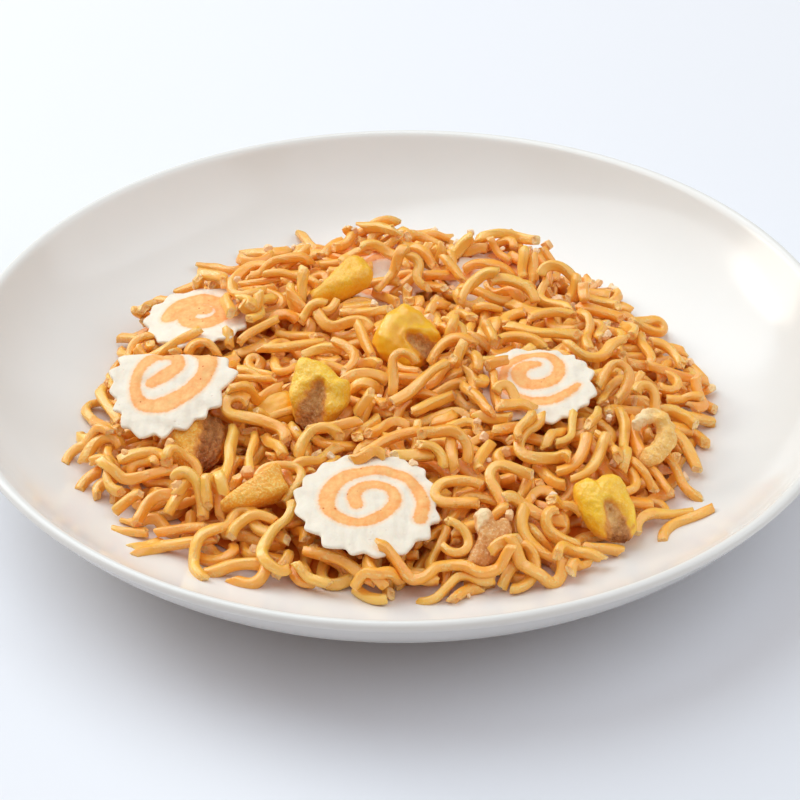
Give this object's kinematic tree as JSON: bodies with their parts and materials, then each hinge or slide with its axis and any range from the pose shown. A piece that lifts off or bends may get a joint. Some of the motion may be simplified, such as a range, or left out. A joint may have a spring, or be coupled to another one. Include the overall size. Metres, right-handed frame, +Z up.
{
  "type": "plate of crunchy fried noodle snack",
  "caption": "Shallow round white plate holding a loose heap of crunchy fried noodle bits with toothed fish cake slices that have an orange spiral, and fried giant corn kernels.",
  "frame": {"origin": "centre of the underside of the plate's foot ring, on the table", "axes": "+Z up; +Y away from a viewer who has the large fish cake slice nearest to them; +X to that viewer's right"},
  "size_m": [0.21, 0.21, 0.0342],
  "materials": {
    "glaze": "glossy white porcelain glaze",
    "fried_noodle": "golden fried dough with a faint oily sheen",
    "fish_cake": "matt off-white with an orange spiral",
    "giant_corn": "grainy yellow fried skin with a brown germ",
    "toasted_chip": "grainy golden brown",
    "puffed_dough": "rough beige puffed dough"
  },
  "bodies": {
    "root": {"plate": "glaze", "noodle_mound": "fried_noodle", "slice_front": "fish_cake", "slice_left": "fish_cake", "slice_right": "fish_cake", "slice_back_left": "fish_cake", "slice_back": "fish_cake", "slice_back_right": "fish_cake", "kernel_centre": "giant_corn", "kernel_upright": "giant_corn", "kernel_edgeways": "giant_corn", "kernel_left": "giant_corn", "kernel_wedge": "giant_corn", "kernel_right": "giant_corn", "kernel_buried": "giant_corn", "toasted_chip": "toasted_chip", "puffed_crescent": "puffed_dough"}
  },
  "joints": []
}
